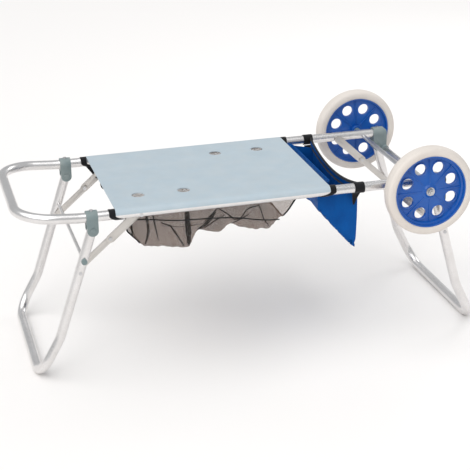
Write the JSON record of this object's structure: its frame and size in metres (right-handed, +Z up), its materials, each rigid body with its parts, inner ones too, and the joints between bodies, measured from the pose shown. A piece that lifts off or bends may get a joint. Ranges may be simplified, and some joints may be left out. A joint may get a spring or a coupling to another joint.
{
  "type": "beach cart",
  "caption": "Two-wheeled beach cart that stands as a low table: bent tube frame, folding U legs with jointed stays, flat table, hanging net and fabric pouch.",
  "frame": {"origin": "on the ground, under the middle of the cart's bounding box, with the cart standing on its open legs", "axes": "+X from the handle to the wheels, +Y to the cart's left as seen from the handle, +Z up"},
  "size_m": [1.0862, 0.5226, 0.4761],
  "materials": {
    "tube": "satin",
    "grey_plastic": "matte",
    "stay_sheet": "satin",
    "table_sheet": "matte",
    "net": "open mesh",
    "blue_fabric": "woven",
    "webbing": "woven",
    "blue_plastic": "gloss",
    "cream_tyre": "matte",
    "steel": "brushed"
  },
  "bodies": {
    "frame": {"frame_tube": "tube", "front_clip_left": "grey_plastic", "front_clip_right": "grey_plastic", "rear_bracket_left": "grey_plastic", "rear_bracket_right": "grey_plastic", "clip_screws": "steel", "leg_pivot_pins": "steel", "stay_rail_rivets": "steel", "rear_cross_tube": "tube", "axle": "steel", "axle_spacer_left": "grey_plastic", "axle_spacer_right": "grey_plastic", "axle_washers": "steel", "axle_nuts": "steel", "tabletop": "table_sheet", "storage_net": "net", "rear_pouch": "blue_fabric", "pouch_band": "webbing", "front_strap_left": "webbing", "front_strap_right": "webbing", "rear_strap_left": "webbing", "rear_strap_right": "webbing"},
    "front_leg": {"front_leg_tube": "tube", "front_cross_rod": "steel", "cross_rod_caps": "grey_plastic", "front_leg_rivets": "steel"},
    "rear_leg": {"rear_leg_tube": "tube", "rear_leg_rivets": "steel"},
    "front_stay_upper": {"front_stay_upper_left": "stay_sheet", "front_stay_upper_right": "stay_sheet", "front_stay_mid_rivets": "steel"},
    "front_stay_lower": {"front_stay_lower_left": "stay_sheet", "front_stay_lower_right": "stay_sheet", "front_stay_caps": "steel"},
    "rear_stay_upper": {"rear_stay_upper_left": "stay_sheet", "rear_stay_upper_right": "stay_sheet", "rear_stay_mid_rivets": "steel"},
    "rear_stay_lower": {"rear_stay_lower_left": "stay_sheet", "rear_stay_lower_right": "stay_sheet", "rear_stay_caps": "steel"},
    "wheel_left": {"hub_left": "blue_plastic", "tyre_left": "cream_tyre"},
    "wheel_right": {"hub_right": "blue_plastic", "tyre_right": "cream_tyre"}
  },
  "joints": [
    {"name": "front_leg_fold", "type": "hinge", "parent": "frame", "child": "front_leg", "pos_m": [-0.375, 0, 0.348], "axis": [0, -1, 0], "range_deg": [0, 100]},
    {"name": "rear_leg_fold", "type": "hinge", "parent": "frame", "child": "rear_leg", "pos_m": [0.4225, 0, 0.344], "axis": [0, 1, 0], "range_deg": [0, 100]},
    {"name": "front_stay_upper_fold", "type": "hinge", "parent": "frame", "child": "front_stay_upper", "pos_m": [-0.267, 0, 0.372], "axis": [0, -1, 0], "range_deg": [0, 129.33]},
    {"name": "front_stay_lower_fold", "type": "hinge", "parent": "front_leg", "child": "front_stay_lower", "pos_m": [-0.40771, 0, 0.25192], "axis": [0, -1, 0], "range_deg": [-127.13, 0]},
    {"name": "rear_stay_upper_fold", "type": "hinge", "parent": "frame", "child": "rear_stay_upper", "pos_m": [0.3145, 0, 0.372], "axis": [0, 1, 0], "range_deg": [0, 127.57]},
    {"name": "rear_stay_lower_fold", "type": "hinge", "parent": "rear_leg", "child": "rear_stay_lower", "pos_m": [0.44877, 0, 0.24596], "axis": [0, 1, 0], "range_deg": [-130.49, 0]},
    {"name": "wheel_left_spin", "type": "hinge", "parent": "frame", "child": "wheel_left", "pos_m": [0.384, 0.24, 0.372], "axis": [0, 1, 0], "continuous": true},
    {"name": "wheel_right_spin", "type": "hinge", "parent": "frame", "child": "wheel_right", "pos_m": [0.384, -0.24, 0.372], "axis": [0, 1, 0], "continuous": true}
  ],
  "couplings": [
    {"joint": "front_stay_upper_fold", "follows": "front_leg_fold", "ratio": 1.2883},
    {"joint": "front_stay_lower_fold", "follows": "front_leg_fold", "ratio": -1.2663},
    {"joint": "rear_stay_upper_fold", "follows": "rear_leg_fold", "ratio": 1.2707},
    {"joint": "rear_stay_lower_fold", "follows": "rear_leg_fold", "ratio": -1.2999}
  ]
}
